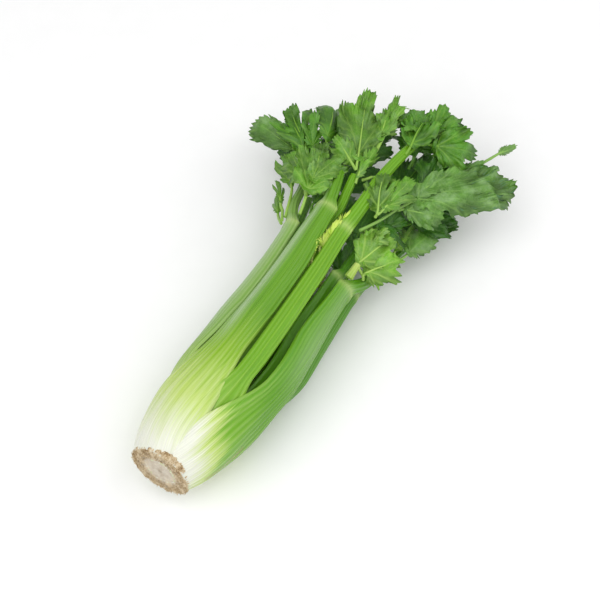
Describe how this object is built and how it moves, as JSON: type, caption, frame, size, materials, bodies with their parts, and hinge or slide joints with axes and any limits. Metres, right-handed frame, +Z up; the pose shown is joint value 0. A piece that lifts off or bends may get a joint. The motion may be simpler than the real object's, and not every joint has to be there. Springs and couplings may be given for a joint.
{
  "type": "head of celery",
  "caption": "Head of celery lying down: a ribbed bundle of nested stalks on a cut crown, with leaf stems and toothed, lobed leaflets at the top.",
  "frame": {"origin": "centre of the bounding box at the level of the surface it lies on", "axes": "+X from the cut crown towards the leaf tips, +Z up, +Y to the left when looking along +X"},
  "size_m": [0.3926, 0.21, 0.0873],
  "materials": {
    "crown": "dry, fibrous cut plant tissue, rough",
    "outer_stalk": "waxy, ribbed, white at the butt to green, soft sheen",
    "middle_stalk": "waxy, ribbed, yellow-green, soft sheen",
    "inner_stalk": "waxy, ribbed, green, soft sheen",
    "heart": "waxy, pale yellow-green",
    "cut_shoot": "moist cut plant tissue, satin",
    "leaf": "leaf, matte with a faint waxy sheen",
    "dark_leaf": "leaf, matte with a faint waxy sheen"
  },
  "bodies": {
    "root": {"root_crown": "crown", "outer_stalk_top": "outer_stalk", "outer_stalk_right": "outer_stalk", "outer_stalk_under": "outer_stalk", "outer_stalk_left": "outer_stalk", "middle_stalk_top": "middle_stalk", "middle_stalk_right": "middle_stalk", "middle_stalk_under": "middle_stalk", "middle_stalk_left": "middle_stalk", "inner_stalk_top": "inner_stalk", "inner_stalk_right": "inner_stalk", "inner_stalk_under": "inner_stalk", "inner_stalk_left": "inner_stalk", "heart_stalk_1": "heart", "heart_stalk_2": "heart", "heart_stalk_3": "heart", "cut_side_shoot": "cut_shoot", "leaf_left_1": "leaf", "leaf_left_2": "leaf", "leaf_left_3": "leaf", "leaf_left_4": "leaf", "leaf_left_5": "leaf", "leaf_top_1": "leaf", "leaf_top_2": "leaf", "leaf_top_3": "leaf", "leaf_centre_1": "leaf", "leaf_centre_2": "leaf", "leaf_bright_1": "dark_leaf", "leaf_bright_2": "dark_leaf", "leaf_bright_3": "dark_leaf", "leaf_bright_4": "leaf", "leaf_bright_5": "leaf", "leaf_inner_right_1": "dark_leaf", "leaf_inner_right_2": "dark_leaf", "leaf_inner_right_3": "dark_leaf", "leaf_inner_right_4": "dark_leaf", "leaf_right_1": "leaf", "leaf_right_2": "leaf", "leaf_right_3": "leaf", "leaf_low_right_1": "dark_leaf", "leaf_low_right_2": "dark_leaf", "leaf_under_1": "dark_leaf", "leaf_under_2": "dark_leaf", "leaf_low_left_1": "dark_leaf", "leaf_low_left_2": "dark_leaf", "leaf_inner_under_1": "dark_leaf", "leaf_inner_left_1": "dark_leaf", "leaf_inner_left_2": "dark_leaf", "leaf_heart_1": "heart", "leaf_heart_2": "heart", "leaf_heart_3": "heart"}
  },
  "joints": []
}
